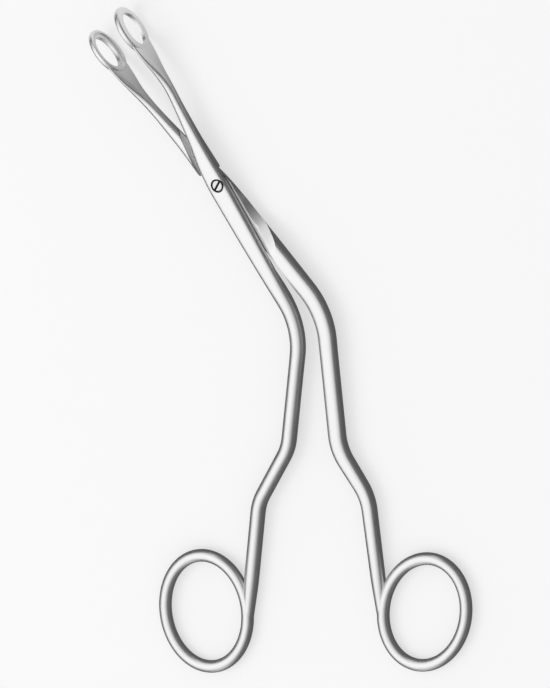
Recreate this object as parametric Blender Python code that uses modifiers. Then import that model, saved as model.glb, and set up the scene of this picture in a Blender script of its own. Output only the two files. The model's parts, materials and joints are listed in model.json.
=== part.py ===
"""Septum compression forceps, 20 cm class, lying at rest on a table.

Two steel arms cross at a half-lap screw joint. Each arm is one forging: an oval fenestrated jaw
with a dished inner face, a slender jaw arm, the halved joint, a shank with three bends and a
finger ring. A slotted screw goes through the front arm and holds in the rear arm.

Plan frame while the arms are shaped: the screw axis is Z, the jaws point to +X, the handles
bend to +Y, and Z = 0 is the plane where the halves of the joint meet. The finished pieces hang
on one empty at the screw axis, which lays them on the table. Metres and degrees.
"""

import math

import bmesh
import bpy
import numpy as np
from mathutils import Matrix, Vector

# Jaws: an oval ring, seen face on, and its depth from contact face to back
JAW_WIDTH = 0.0112
JAW_LENGTH = 0.0146
JAW_DEPTH = 0.0019
FENESTRA_WIDTH = 0.0070
FENESTRA_LENGTH = 0.0101
DISH_DEPTH = 0.0007
JAW_RIM = 0.00095

# Neck between jaw arm and oval ring: its root lies inside the oval, its flare outside
NECK_ROOT = 0.0035
NECK_FLARE_LENGTH = 0.0120
NECK_WIDTH = 0.0085
JAW_ARM_WIDTH = 0.0026
JAW_ARM_THICKNESS = 0.0028

# Half-lap joint. An arm is cut by the other's outline as far as LAP_REACH from the screw, and
# the floors of its cuts differ by LAP_STEP.
JOINT_THICKNESS = 0.0044
FRONT_JOINT_WIDTH = 0.0061
REAR_JOINT_WIDTH = 0.0059
LAP_GAP = 0.0003
SIDE_CLEARANCE = 0.00035
LAP_RADIUS = 0.0040
LAP_LENGTH = 0.0165
LAP_RAMP = 0.0090
LAP_REACH = 0.0420
LAP_STEP = 0.00004
JOINT_HALF_LENGTH = 0.0065

# Slope from the rear arm's lap floor to its edge: strip left flat beside the front arm, start
# over the floor, fall at the edge, and where the fall begins to fade towards the handles
FLANK_STRIP = 0.0006
FLANK_LIFT = 0.0001
FLANK_DROP = 0.0017
FLANK_FADE_START = 0.0120

# Joint screw
SCREW_HEAD_DIAMETER = 0.0033
SCREW_HEAD_HEIGHT = 0.0009
SCREW_SHANK_DIAMETER = 0.0024
SCREW_CLEARANCE = 0.0003
SLOT_WIDTH = 0.0006
SLOT_DEPTH = 0.0005
SLOT_HEADING = -66.0

# Shanks
SHANK_THICKNESS = 0.0041
FRONT_SHANK_WIDTH = 0.0044
REAR_SHANK_WIDTH = 0.0051
RING_LEG_WIDTH = 0.0043

# Finger rings: half axes of the bar's centre line, and the bar
RING_HALF_LENGTH = 0.0169
FRONT_RING_HALF_WIDTH = 0.0132
REAR_RING_HALF_WIDTH = 0.0126
RING_BAR_WIDTH = 0.0036
RING_BAR_THICKNESS = 0.0034
RING_BAR_SQUARENESS = 2.2
FRONT_RING_TURN = -4.0
REAR_RING_TURN = -27.0

# Plan of the front arm: corner at the joint, then legs of (length, heading)
FRONT_CORNER = (0.0060, 0.0001)
FRONT_JAW_LEG = 0.0253
FRONT_JAW_LEG_HEADING = -9.0
FRONT_JAW_REACH = 0.0192
FRONT_JAW_HEADING = -1.5
FRONT_LEGS = ((0.0528, 174.8), (0.0372, 135.3), (0.0203, 113.8), (0.0381, 135.5))

# Plan of the rear arm
REAR_CORNER = (-0.0080, -0.0010)
REAR_JAW_LEG = 0.0438
REAR_JAW_LEG_HEADING = 8.9
REAR_JAW_REACH = 0.0137
REAR_JAW_HEADING = 4.5
REAR_LEGS = ((0.0388, 185.9), (0.0411, 147.5), (0.0159, 177.1), (0.0378, 149.0))

# Fillets of the centre line: jaw bend, joint, upper bend, knee, lower bend
JAW_BEND_RADIUS = 0.040
JOINT_RADIUS = 0.060
UPPER_BEND_RADIUS = 0.024
KNEE_RADIUS = 0.016
LOWER_BEND_RADIUS = 0.016

# Motion of the front arm about the screw, from the pose that is modelled
CLOSING_ANGLE = 4.5

# Facets
STATION_STEP = 0.00305
SECTION_POINTS = 18
JAW_POINTS = 44
RING_POINTS = 52
BAR_POINTS = 12
TURNED_STEPS = 32

COLLECTION_NAME = "septum_compression_forceps"
CUTTER_COLLECTION_NAME = "cutters"


def clear_scene():
    """Remove every object, so that the script can run again in an open file."""
    for old in list(bpy.data.objects):
        bpy.data.objects.remove(old, do_unlink=True)


def new_collection(name):
    collection = bpy.data.collections.get(name) or bpy.data.collections.new(name)
    if name not in bpy.context.scene.collection.children:
        bpy.context.scene.collection.children.link(collection)
    return collection


def steel(name, shade, roughness):
    """Polished stainless steel of one grey."""
    material = bpy.data.materials.new(name)
    material.use_nodes = True
    shader = material.node_tree.nodes["Principled BSDF"]
    shader.inputs["Base Color"].default_value = (shade, shade, shade, 1.0)
    shader.inputs["Metallic"].default_value = 1.0
    shader.inputs["Roughness"].default_value = roughness
    return material


def unit(heading):
    """Unit vector in plan at a heading in degrees, counted from +X towards +Y."""
    angle = math.radians(heading)
    return np.array([math.cos(angle), math.sin(angle)])


def turned(points, degrees):
    """Plan points turned about the screw axis."""
    angle = math.radians(degrees)
    turn = np.array([[math.cos(angle), -math.sin(angle)], [math.sin(angle), math.cos(angle)]])
    return np.asarray(points) @ turn.T


def filleted(corners, radii):
    """Evenly spaced points along straight legs whose inner corners are rounded by arcs."""
    line = [corners[0]]
    for before, corner, after, radius in zip(corners, corners[1:], corners[2:], radii):
        into = (corner - before) / np.linalg.norm(corner - before)
        out = (after - corner) / np.linalg.norm(after - corner)
        turn = math.atan2(into[0] * out[1] - into[1] * out[0], float(into @ out))
        back = radius * math.tan(abs(turn) / 2)
        side = math.copysign(1.0, turn) * np.array([-into[1], into[0]])
        centre = corner - into * back + side * radius
        for share in np.linspace(0.0, 1.0, 17):
            angle = turn * share
            spoke = -side
            line.append(centre + radius * np.array([
                spoke[0] * math.cos(angle) - spoke[1] * math.sin(angle),
                spoke[0] * math.sin(angle) + spoke[1] * math.cos(angle)]))
    line.append(corners[-1])
    line = np.array(line)
    run = np.r_[0.0, np.cumsum(np.linalg.norm(np.diff(line, axis=0), axis=1))]
    count = int(math.ceil(run[-1] / STATION_STEP))
    even = np.linspace(0.0, run[-1], count + 1)
    return np.column_stack([np.interp(even, run, line[:, axis]) for axis in (0, 1)]), even


def section(width, thickness, squareness, count):
    """A superellipse: an ellipse at squareness 2, a rounded bar at 4 and more."""
    angle = np.arange(count) * 2 * math.pi / count
    across = np.sign(np.cos(angle)) * np.abs(np.cos(angle)) ** (2 / squareness)
    height = np.sign(np.sin(angle)) * np.abs(np.sin(angle)) ** (2 / squareness)
    return across * width / 2, height * thickness / 2


def sweep(line, widths, thicknesses, squarenesses, count, closed):
    """Carry a changing section along a plan line, and return one closed mesh."""
    ahead = np.roll(line, -1, axis=0)
    behind = np.roll(line, 1, axis=0)
    if not closed:
        ahead[-1], behind[0] = line[-1], line[0]
    tangent = ahead - behind
    tangent /= np.linalg.norm(tangent, axis=1)[:, None]
    across = np.column_stack([tangent[:, 1], -tangent[:, 0]])
    body = bmesh.new()
    hoops = []
    for place, side, width, thickness, squareness in zip(
            line, across, widths, thicknesses, squarenesses):
        offsets, heights = section(width, thickness, squareness, count)
        hoops.append([body.verts.new((place[0] + side[0] * o, place[1] + side[1] * o, h))
                      for o, h in zip(offsets, heights)])
    pairs = list(zip(hoops, hoops[1:]))
    if closed:
        pairs.append((hoops[-1], hoops[0]))
    for first, second in pairs:
        for k in range(count):
            after = (k + 1) % count
            body.faces.new((first[k], first[after], second[after], second[k]))
    if not closed:
        body.faces.new(hoops[0])
        body.faces.new(reversed(hoops[-1]))
    return finished_mesh("sweep", body)


def finished_mesh(name, body):
    bmesh.ops.recalc_face_normals(body, faces=body.faces)
    mesh = bpy.data.meshes.new(name)
    body.to_mesh(mesh)
    body.free()
    return mesh


def prism(outline, bottom, top):
    """A flat outline raised from one height to another."""
    body = bmesh.new()
    floor = body.faces.new([body.verts.new((x, y, bottom)) for x, y in outline])
    raised = bmesh.ops.extrude_face_region(body, geom=[floor])
    lifted = [item for item in raised["geom"] if isinstance(item, bmesh.types.BMVert)]
    bmesh.ops.translate(body, verts=lifted, vec=(0.0, 0.0, top - bottom))
    return finished_mesh("prism", body)


def drum(radius, bottom, top):
    """A cylinder on the screw axis."""
    body = bmesh.new()
    bmesh.ops.create_cone(
        body, cap_ends=True, segments=TURNED_STEPS, radius1=radius, radius2=radius,
        depth=top - bottom, matrix=Matrix.Translation((0.0, 0.0, (top + bottom) / 2)))
    return finished_mesh("drum", body)


def combine(base, others, operation, cutters):
    """Unite or cut a mesh with others by the exact Boolean, and return the new mesh."""
    target = bpy.data.objects.new("working_piece", base)
    cutters.objects.link(target)
    guests = []
    for mesh in others:
        guest = bpy.data.objects.new("tool", mesh)
        guest.hide_render = True
        guest.display_type = "WIRE"
        cutters.objects.link(guest)
        step = target.modifiers.new("boolean", "BOOLEAN")
        step.operation = operation
        step.solver = "EXACT"
        step.object = guest
        guests.append(guest)
    bpy.context.view_layer.update()
    seen = target.evaluated_get(bpy.context.evaluated_depsgraph_get())
    result = bpy.data.meshes.new_from_object(seen)
    for guest in guests + [target]:
        bpy.data.objects.remove(guest, do_unlink=True)
    return result


def oval_stack(centre, heading, outward, levels):
    """Ovals stacked through the depth of a jaw, closed at both ends.

    Each level is (share of the way from fenestra to outer oval, height from mid depth towards
    the back). outward is +1 when the back of the jaw faces the left of its heading.
    """
    along = unit(heading)
    back = outward * np.array([-along[1], along[0]])
    angle = np.arange(JAW_POINTS) * 2 * math.pi / JAW_POINTS
    body = bmesh.new()
    hoops = []
    for share, height in levels:
        reach = (FENESTRA_LENGTH + share * (JAW_LENGTH - FENESTRA_LENGTH)) / 2
        spread = (FENESTRA_WIDTH + share * (JAW_WIDTH - FENESTRA_WIDTH)) / 2
        plan = centre + np.outer(reach * np.cos(angle), along) + back * height
        hoops.append([body.verts.new((x, y, z)) for (x, y), z in zip(plan, spread * np.sin(angle))])
    for first, second in zip(hoops, hoops[1:]):
        for k in range(JAW_POINTS):
            after = (k + 1) % JAW_POINTS
            body.faces.new((first[k], first[after], second[after], second[k]))
    body.faces.new(reversed(hoops[0]))
    body.faces.new(hoops[-1])
    return finished_mesh("oval_stack", body)


def jaw_pad(plan):
    """The oval of a jaw before it is dished: flat contact face, rounded edge and back."""
    half = JAW_DEPTH / 2
    return oval_stack(plan.jaw_centre, plan.jaw_heading, plan.side, [
        (0.80, -half), (0.96, -0.80 * half), (1.0, -0.35 * half), (0.98, 0.20 * half),
        (0.88, 0.62 * half), (0.62, 0.92 * half), (0.30, half)])


def dish_tool(plan):
    """Cutter for the dished inner face, the fenestra and the eased edge at its back."""
    half = JAW_DEPTH / 2
    lip = 1.0 - JAW_RIM / ((JAW_WIDTH - FENESTRA_WIDTH) / 2)
    return oval_stack(plan.jaw_centre, plan.jaw_heading, plan.side, [
        (lip + 0.45 * (1 - lip), -1.10 * half), (lip, -0.95 * half),
        (0.75 * lip, 0.55 * DISH_DEPTH - half), (0.0, DISH_DEPTH - half), (0.0, 0.88 * half),
        (0.16, 1.12 * half)])


def ring_line(touch, heading, half_width, turn, side):
    """Centre line of a finger ring, an ellipse that the last leg touches at its end.

    The ring lies on the given side of the leg (+1 is left of its heading), and its long axis
    is turned from the leg by an angle.
    """
    long_axis = unit(heading + side * turn)
    short_axis = np.array([-long_axis[1], long_axis[0]])
    along = unit(heading)
    outward = -side * np.array([-along[1], along[0]])
    far = RING_HALF_LENGTH ** 2 * (outward @ long_axis) * long_axis
    near = half_width ** 2 * (outward @ short_axis) * short_axis
    reach = math.hypot(RING_HALF_LENGTH * (outward @ long_axis),
                       half_width * (outward @ short_axis))
    centre = touch - (far + near) / reach
    angle = np.arange(RING_POINTS) * 2 * math.pi / RING_POINTS
    return (centre + np.outer(RING_HALF_LENGTH * np.cos(angle), long_axis)
            + np.outer(half_width * np.sin(angle), short_axis))


class ArmPlan:
    """Everything about one arm that its shape, its cutters and its rest are worked out from."""

    def __init__(self, corner, jaw_leg, jaw_leg_heading, jaw_reach, jaw_heading, legs,
                 joint_width, shank_width, ring_half_width, ring_turn, side):
        self.side = side
        self.joint_width = joint_width
        self.shank_heading = legs[0][1]
        corner = np.array(corner)
        bend = corner + jaw_leg * unit(jaw_leg_heading)
        self.jaw_centre = bend + jaw_reach * unit(jaw_heading)
        self.jaw_heading = jaw_heading
        corners = [self.jaw_centre - NECK_ROOT * unit(jaw_heading), bend, corner]
        for length, heading in legs:
            corners.append(corners[-1] + length * unit(heading))
        self.touch = corners[-1]
        radii = [JAW_BEND_RADIUS, JOINT_RADIUS, UPPER_BEND_RADIUS, KNEE_RADIUS,
                 LOWER_BEND_RADIUS]
        self.line, run = filleted(corners, radii)
        self.ring = ring_line(self.touch, legs[-1][1], ring_half_width, ring_turn, side)
        self.corner = corner
        # The line runs from the jaws towards -X, so it passes the screw where X is 0
        pivot_run, level = [np.interp(0.0, -self.line[:, 0], row) for row in (run, self.line[:, 1])]
        self.crossing = np.array([0.0, level])
        lap_end = pivot_run + LAP_LENGTH + LAP_RAMP
        bend_end = pivot_run + corner @ unit(self.shank_heading) + legs[0][0]
        knee_end = bend_end + legs[1][0]
        neck = JAW_LENGTH / 2 - NECK_ROOT
        # Each station is (run along the line, width, thickness, squareness)
        stations = [
            (0.0, 0.80 * JAW_DEPTH, 0.84 * JAW_WIDTH, 3.0),
            (neck, 0.95 * JAW_DEPTH, NECK_WIDTH, 3.0),
            (neck + 0.28 * NECK_FLARE_LENGTH, 1.20 * JAW_DEPTH, 0.84 * NECK_WIDTH, 3.0),
            (neck + 0.52 * NECK_FLARE_LENGTH, JAW_ARM_WIDTH, 0.56 * NECK_WIDTH, 2.8),
            (neck + NECK_FLARE_LENGTH, JAW_ARM_WIDTH, JAW_ARM_THICKNESS, 2.6),
            (pivot_run - 3.9 * JOINT_HALF_LENGTH, 1.04 * JAW_ARM_WIDTH,
             1.02 * JAW_ARM_THICKNESS, 2.8),
            (pivot_run - 2.2 * JOINT_HALF_LENGTH, 0.62 * joint_width, 0.76 * JOINT_THICKNESS, 3.4),
            (pivot_run - JOINT_HALF_LENGTH, 0.86 * joint_width, 0.94 * JOINT_THICKNESS, 4.5),
            (pivot_run, joint_width, JOINT_THICKNESS, 5.0),
            (pivot_run + LAP_LENGTH, 0.93 * joint_width, JOINT_THICKNESS, 4.5),
            (lap_end, 0.5 * (joint_width + shank_width), JOINT_THICKNESS, 3.6),
            (bend_end - UPPER_BEND_RADIUS / 4, 1.07 * shank_width, SHANK_THICKNESS, 2.5),
            (bend_end + UPPER_BEND_RADIUS / 2, shank_width, SHANK_THICKNESS, 2.3),
            (knee_end, shank_width, SHANK_THICKNESS, 2.3),
            (knee_end + legs[2][0], RING_LEG_WIDTH, SHANK_THICKNESS, 2.3),
            (run[-1] - legs[3][0] / 3, RING_LEG_WIDTH, 0.95 * SHANK_THICKNESS, 2.2),
            (run[-1], 0.86 * RING_BAR_WIDTH, 0.86 * RING_BAR_THICKNESS, 2.1)]
        table = np.array(stations)
        schedule = [np.interp(run, table[:, 0], table[:, k]) for k in (1, 2, 3)]
        self.widths, self.thicknesses, self.squarenesses = [eased(row) for row in schedule]

    def outline(self, margin):
        """Plan outline of the arm near the joint, grown by a margin."""
        near = np.abs(self.line[:, 0]) < LAP_REACH
        near &= self.line[:, 0] < 4.4 * JOINT_HALF_LENGTH
        line = self.line[near]
        tangent = np.gradient(line, axis=0)
        tangent /= np.linalg.norm(tangent, axis=1)[:, None]
        left = np.column_stack([-tangent[:, 1], tangent[:, 0]])
        reach = (self.widths[near] / 2 + margin)[:, None]
        return np.concatenate([line + left * reach, (line - left * reach)[::-1]])


def eased(row):
    """Soften the corners of a schedule by a short running mean, with its ends kept."""
    kernel = np.array([0.25, 0.5, 0.25])
    inner = np.convolve(row, kernel, mode="valid")
    return np.concatenate([row[:1], inner, row[-1:]])


def lap_rise(run):
    """Height of a lap's floor over its seat: none beside the screw, then a gentle run-out."""
    share = np.clip((run - LAP_LENGTH) / LAP_RAMP, 0.0, 1.0)
    return 0.52 * (JOINT_THICKNESS + LAP_GAP) * (1 - np.cos(math.pi * share))


def loft(rows):
    """A closed mesh through loops of 3-D points, each loop with as many points."""
    body = bmesh.new()
    hoops = [[body.verts.new(point) for point in row] for row in rows]
    for first, second in zip(hoops, hoops[1:]):
        for k in range(len(first)):
            after = (k + 1) % len(first)
            body.faces.new((first[k], first[after], second[after], second[k]))
    body.faces.new(reversed(hoops[0]))
    body.faces.new(hoops[-1])
    return finished_mesh("loft", body)


def lap_tools(plan, other, closing, facing):
    """Cutters that take away the half of an arm where the other arm lies.

    facing is +1 for the rear arm, which loses its upper half, and -1 for the front arm.
    closing turns the other arm's outline to its place when the forceps are shut. The floors
    of the cuts differ by a hair, so that no two of them share a plane.
    """
    seat = -facing * LAP_GAP / 2
    clear = facing * JOINT_THICKNESS
    tools = [drum(LAP_RADIUS, *sorted((seat - facing * LAP_STEP, clear))),
             prism(turned(other.outline(SIDE_CLEARANCE), closing), *sorted((seat, clear)))]
    seat += facing * LAP_STEP
    scoop = [(0.0, clear), (0.0, seat)]
    for run in np.linspace(LAP_LENGTH, LAP_LENGTH + LAP_RAMP, 9):
        scoop.append((run, seat + facing * lap_rise(run)))
    scoop.append((LAP_LENGTH + LAP_RAMP, clear))
    along = unit(plan.shank_heading)
    left = np.array([-along[1], along[0]])
    tools.append(loft([
        [(*(plan.crossing + left * reach + along * run), height) for run, height in scoop]
        for reach in (-plan.joint_width, plan.joint_width)]))
    return tools


def flank_tool(plan, other):
    """Cutter for the slope beside the front arm, on the rear arm's half of the joint.

    The slope starts a narrow strip outside the front arm and falls to the rear arm's edge.
    Towards the handles its fall fades out while the lap's floor runs out.
    """
    along = unit(plan.shank_heading)
    left = np.array([-along[1], along[0]])
    beside = unit(other.shank_heading)
    outward = np.array([-beside[1], beside[0]])
    strip = other.corner + outward * (other.joint_width / 2 + FLANK_STRIP) - plan.crossing
    drift = (beside @ left) / (beside @ along)
    first = strip @ left - (strip @ along) * drift
    edge = plan.joint_width / 2
    clear = JOINT_THICKNESS
    end = LAP_LENGTH + LAP_RAMP
    rows = []
    for run in np.linspace(-JOINT_HALF_LENGTH, end, 16):
        floor = lap_rise(run) - LAP_GAP / 2 + FLANK_LIFT
        share = np.clip((run - FLANK_FADE_START) / (end - FLANK_FADE_START), 0.0, 1.0)
        fall = FLANK_DROP * (1 + math.cos(math.pi * share)) / 2
        crease = first + run * drift
        slope = fall / (edge - crease)
        far = 2 * edge
        place = plan.crossing + along * run
        rows.append([(*(place + left * crease), clear), (*(place + left * crease), floor),
                     (*(place + left * far), floor - slope * (far - crease)),
                     (*(place + left * far), clear)])
    return loft(rows)


def forged_blank(plan, cutters):
    """One arm before it is cut: shank with neck, jaw pad and finger ring in one body."""
    shank = sweep(plan.line, plan.widths, plan.thicknesses, plan.squarenesses,
                  SECTION_POINTS, closed=False)
    bar = np.ones(RING_POINTS)
    ring = sweep(plan.ring, bar * RING_BAR_WIDTH, bar * RING_BAR_THICKNESS,
                 bar * RING_BAR_SQUARENESS, BAR_POINTS, closed=True)
    return combine(shank, [jaw_pad(plan), ring], "UNION", cutters)


def turned_piece(name, profile, cutters):
    """A profile of (radius, height), outer side from top to bottom, turned about Z."""
    mesh = bpy.data.meshes.new(name)
    rims = [(radius, 0.0, height) for radius, height in profile]
    mesh.from_pydata(rims, [(k, k + 1) for k in range(len(rims) - 1)], [])
    piece = bpy.data.objects.new(name, mesh)
    cutters.objects.link(piece)
    lathe = piece.modifiers.new("turn", "SCREW")
    lathe.axis = "Z"
    lathe.steps = TURNED_STEPS
    lathe.render_steps = TURNED_STEPS
    lathe.use_merge_vertices = True
    lathe.merge_threshold = 0.00001
    bpy.context.view_layer.update()
    seen = piece.evaluated_get(bpy.context.evaluated_depsgraph_get())
    result = bpy.data.meshes.new_from_object(seen)
    bpy.data.objects.remove(piece, do_unlink=True)
    return result


def screw_mesh(cutters):
    """Slotted screw: head flush in the front arm, end flush with the back of the rear arm."""
    top = JOINT_THICKNESS / 2
    head = SCREW_HEAD_DIAMETER / 2
    shank = SCREW_SHANK_DIAMETER / 2
    edge = 0.15 * SCREW_HEAD_HEIGHT
    seat = top - SCREW_HEAD_HEIGHT
    blank = turned_piece("screw_blank", [
        (0.0, top), (head - edge, top), (head, top - edge), (head, seat), (shank, seat),
        (shank, edge - top), (shank - edge, -top), (0.0, -top)], cutters)
    across = unit(SLOT_HEADING) * SCREW_HEAD_DIAMETER
    broad = unit(SLOT_HEADING + 90.0) * SLOT_WIDTH / 2
    outline = [across + broad, -across + broad, -across - broad, across - broad]
    slot = prism(outline, top - SLOT_DEPTH, top + SLOT_DEPTH)
    return combine(blank, [slot], "DIFFERENCE", cutters)


def resting_turn(plans):
    """Rotation that brings the three lowest supports of the forceps to one level.

    They rest on the lower edge of the jaw nearer the handles' side and on the undersides of
    both finger rings. The slope of the table plane is found by a few passes, because the
    touching points of the rings move with it.
    """
    slope = np.array([0.0, 0.0])
    for _ in range(6):
        points = []
        jaw = max((plan.jaw_centre for plan in plans), key=lambda place: place[1])
        points.append((jaw[0], jaw[1], -JAW_WIDTH / 2))
        for plan in plans:
            best = plan.ring[np.argmax(plan.ring @ slope)] if slope.any() else plan.touch
            points.append((best[0], best[1], -RING_BAR_THICKNESS / 2))
        first, second, third = np.array(points)
        rows = np.array([second - first, third - first])
        slope = np.linalg.solve(rows[:, :2], rows[:, 2])
    normal = Vector((-slope[0], -slope[1], 1.0)).normalized()
    return normal.rotation_difference(Vector((0.0, 0.0, 1.0))).to_matrix().to_4x4()


def lay_down(pieces, turn):
    """Empty at the screw axis that puts the box of the pieces on the origin, resting on Z = 0."""
    corners = np.array([turn @ vertex.co for piece in pieces for vertex in piece.data.vertices])
    low, high = corners.min(axis=0), corners.max(axis=0)
    shift = Vector((-(low[0] + high[0]) / 2, -(low[1] + high[1]) / 2, -low[2]))
    pivot = bpy.data.objects.new("screw_axis", None)
    pivot.empty_display_size = JAW_LENGTH
    pivot.matrix_world = Matrix.Translation(shift) @ turn
    return pivot


def add_piece(name, mesh, material, collection):
    mesh.name = name
    mesh.materials.clear()
    mesh.materials.append(material)
    mesh.shade_smooth()
    mesh.set_sharp_from_angle(angle=math.radians(35))
    piece = bpy.data.objects.new(name, mesh)
    collection.objects.link(piece)
    return piece


def build():
    clear_scene()
    parts = new_collection(COLLECTION_NAME)
    cutters = new_collection(CUTTER_COLLECTION_NAME)
    front = ArmPlan(FRONT_CORNER, FRONT_JAW_LEG, FRONT_JAW_LEG_HEADING, FRONT_JAW_REACH,
                    FRONT_JAW_HEADING, FRONT_LEGS, FRONT_JOINT_WIDTH, FRONT_SHANK_WIDTH,
                    FRONT_RING_HALF_WIDTH, FRONT_RING_TURN, side=-1)
    rear = ArmPlan(REAR_CORNER, REAR_JAW_LEG, REAR_JAW_LEG_HEADING, REAR_JAW_REACH,
                   REAR_JAW_HEADING, REAR_LEGS, REAR_JOINT_WIDTH, REAR_SHANK_WIDTH,
                   REAR_RING_HALF_WIDTH, REAR_RING_TURN, side=1)
    top = JOINT_THICKNESS
    hole = drum(SCREW_SHANK_DIAMETER / 2 + SCREW_CLEARANCE, -top, top)
    head_seat = drum(SCREW_HEAD_DIAMETER / 2 + SCREW_CLEARANCE,
                     JOINT_THICKNESS / 2 - SCREW_HEAD_HEIGHT - SCREW_CLEARANCE, top)
    front_tools = lap_tools(front, rear, -CLOSING_ANGLE, -1) + [hole, head_seat, dish_tool(front)]
    rear_tools = lap_tools(rear, front, CLOSING_ANGLE, 1) + [flank_tool(rear, front), hole,
                                                             dish_tool(rear)]
    front_mesh = combine(forged_blank(front, cutters), front_tools, "DIFFERENCE", cutters)
    rear_mesh = combine(forged_blank(rear, cutters), rear_tools, "DIFFERENCE", cutters)
    pieces = [
        add_piece("front_arm", front_mesh, steel("front_arm_steel", 0.78, 0.16), parts),
        add_piece("rear_arm", rear_mesh, steel("rear_arm_steel", 0.78, 0.16), parts),
        add_piece("joint_screw", screw_mesh(cutters), steel("screw_steel", 0.72, 0.22), parts)]
    pivot = lay_down(pieces, resting_turn([front, rear]))
    parts.objects.link(pivot)
    for piece in pieces:
        piece.parent = pivot


build()
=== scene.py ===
# %% [markdown]
# # Septum compression forceps in polished steel
# The forceps are two forged arms that cross at a half-lap and turn on a slotted screw. Each arm
# ends in an oval window jaw at one end and in a finger ring at the other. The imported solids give
# the sizes and the motion; this script makes finer surfaces over them, gives them a polished
# finish and sets up the table, the light and the camera.

import json
import math

import bpy
import numpy as np
from mathutils import Matrix, Vector


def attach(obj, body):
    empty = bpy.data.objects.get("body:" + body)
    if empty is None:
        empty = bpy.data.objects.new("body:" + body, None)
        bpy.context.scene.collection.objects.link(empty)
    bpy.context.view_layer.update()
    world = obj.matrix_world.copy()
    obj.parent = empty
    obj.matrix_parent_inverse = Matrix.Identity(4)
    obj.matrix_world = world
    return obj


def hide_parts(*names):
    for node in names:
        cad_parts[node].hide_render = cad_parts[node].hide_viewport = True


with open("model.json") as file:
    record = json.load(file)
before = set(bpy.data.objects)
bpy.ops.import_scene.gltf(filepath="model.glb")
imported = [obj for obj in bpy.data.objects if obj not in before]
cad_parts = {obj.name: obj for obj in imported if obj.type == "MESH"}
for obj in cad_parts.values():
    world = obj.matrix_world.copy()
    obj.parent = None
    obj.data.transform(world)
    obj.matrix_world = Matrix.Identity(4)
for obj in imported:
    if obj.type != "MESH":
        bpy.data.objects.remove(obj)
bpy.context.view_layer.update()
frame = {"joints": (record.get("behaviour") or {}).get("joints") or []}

# %% [markdown]
# ## Where the pieces lie
# The arms are worked out in a plan frame: the screw's axis is Z, the jaws point to +X, and Z = 0
# is the plane where the halves of the joint meet. The forceps lie slightly tipped on the table,
# so one matrix carries plan points to the table. The joint in the record gives both its place
# and its tilt, which keeps the surfaces on the solids without any fitting.

# %% The matrix from plan to table
hinge = frame["joints"][0]
axis_tilt = Vector((0.0, 0.0, 1.0)).rotation_difference(Vector(hinge["axis"]))
plan_to_table = Matrix.Translation(hinge["pos_m"]) @ axis_tilt.to_matrix().to_4x4()
print("tilt of the screw's axis:", round(math.degrees(axis_tilt.angle), 2), "degrees")


# %% [markdown]
# ## Surfaces on grids
# Nearly every form here is a grid of rings: a closed section carried along a line. One helper
# turns such an array of rings into a mesh. It joins each point with its neighbours by index
# arithmetic on whole arrays, and closes the ends with flat caps, so that the surface encloses a
# volume and can be cut or joined cleanly.

# %% Rings of points to a mesh
def mesh_of_rings(name, rings, endless=False):
    """Quads between neighbouring rings. Point k of ring i joins k + 1 of the same ring and the
    same two of ring i + 1. The first and last rings are capped unless the line is endless."""
    count, around, _ = rings.shape
    index = np.arange(count * around).reshape(count, around)
    here = index if endless else index[:-1]
    there = np.roll(index, -1, axis=0) if endless else index[1:]
    quads = np.stack([here, np.roll(here, -1, axis=1), np.roll(there, -1, axis=1), there], axis=-1)
    faces = quads.reshape(-1, 4).tolist()
    if not endless:
        faces += [index[0, ::-1].tolist(), index[-1].tolist()]
    mesh = bpy.data.meshes.new(name)
    mesh.from_pydata(rings.reshape(-1, 3).tolist(), [], faces)
    if signed_volume(mesh) < 0:
        mesh.flip_normals()
    return mesh


def signed_volume(mesh):
    """Sum over triangles of a . (b x c) / 6: positive where the faces point outwards."""
    mesh.calc_loop_triangles()
    corners = np.empty(len(mesh.loop_triangles) * 3, np.int32)
    mesh.loop_triangles.foreach_get("vertices", corners)
    points = np.empty(len(mesh.vertices) * 3)
    mesh.vertices.foreach_get("co", points)
    a, b, c = points.reshape(-1, 3)[corners.reshape(-1, 3)].transpose(1, 0, 2)
    return float(np.einsum("ij,ij->", a, np.cross(b, c)) / 6)


# %% [markdown]
# ## Joining and cutting
# The real arm is one forging: its shank, jaw and ring flow into each other, and the joint, the
# window and the screw hole are cut from it. Exact Booleans do the same on closed meshes, and
# unlike a voxel remesh they keep the crisp edges where a cutter has passed.

# %% One helper for both
def combined(base, guests, operation):
    """The mesh that is left after each guest in turn is united with the base or cut from it."""
    target = bpy.data.objects.new("blank", base)
    bpy.context.scene.collection.objects.link(target)
    helpers = []
    for mesh in guests:
        helper = bpy.data.objects.new("guest", mesh)
        bpy.context.scene.collection.objects.link(helper)
        step = target.modifiers.new("boolean", "BOOLEAN")
        step.operation, step.solver, step.object = operation, "EXACT", helper
        helpers.append(helper)
    bpy.context.view_layer.update()
    seen = target.evaluated_get(bpy.context.evaluated_depsgraph_get())
    result = bpy.data.meshes.new_from_object(seen)
    for helper in helpers + [target]:
        bpy.data.objects.remove(helper)
    return result


# %% [markdown]
# ## The line of an arm
# In plan an arm is a run of straight legs with rounded corners. A spline through the corners
# would wander; straight legs joined by true arcs keep the forged look of bars bent over a former.
# The line is then sampled at an even step, which keeps the facets of the sweep equally small.

# %% Straight legs with arcs between them
LINE_STEP = 0.0005
ARC_POINTS = 41


def unit(heading):
    """Unit vector in plan at a heading in degrees from +X towards +Y."""
    return np.array([math.cos(math.radians(heading)), math.sin(math.radians(heading))])


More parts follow.
